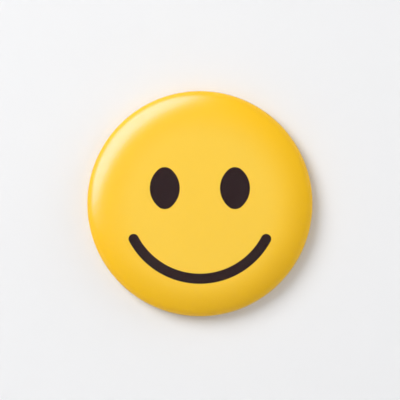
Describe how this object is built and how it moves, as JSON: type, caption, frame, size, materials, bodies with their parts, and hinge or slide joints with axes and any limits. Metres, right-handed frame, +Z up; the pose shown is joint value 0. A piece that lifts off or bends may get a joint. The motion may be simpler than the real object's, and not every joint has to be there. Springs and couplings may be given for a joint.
{
  "type": "button badge",
  "caption": "Round pin-back button badge: film-covered printed face on a domed steel shell, crimped to a recessed back plate with a swinging safety pin.",
  "frame": {"origin": "middle of the plane that the rolled rim rests on, at the back of the badge", "axes": "+Z up as worn, -Y out of the printed face, +Y out of the back into the cloth, +X to the viewer's right"},
  "size_m": [0.038, 0.0055, 0.038],
  "materials": {
    "film": "clear, satin gloss",
    "yellow_paper": "smooth coated paper, printed flat yellow",
    "dark_ink": "smooth dark brown-black ink",
    "tinplate": "bright rolled tinplate with fine scuffs",
    "nickel_wire": "bright nickel-plated drawn wire",
    "nickel_sheet": "bright nickel-plated sheet"
  },
  "bodies": {
    "badge": {"film_cover": "film", "printed_paper": "yellow_paper", "printed_eyes": "dark_ink", "printed_smile": "dark_ink", "front_shell": "tinplate", "back_plate": "tinplate"},
    "safety_pin": {"pin_leg_wire": "nickel_wire", "pin_clasp": "nickel_sheet"},
    "pin_arm": {"pin_arm_wire": "nickel_wire"}
  },
  "joints": [
    {"name": "pin_swing", "type": "hinge", "parent": "badge", "child": "safety_pin", "pos_m": [0, -0.00235, 0.005], "axis": [1, 0, 0], "range_deg": [0, 110]},
    {"name": "pin_open", "type": "hinge", "parent": "safety_pin", "child": "pin_arm", "pos_m": [-0.00984, -0.00151, 0.0034], "axis": [0, 1, 0], "range_deg": [0, 45]}
  ]
}
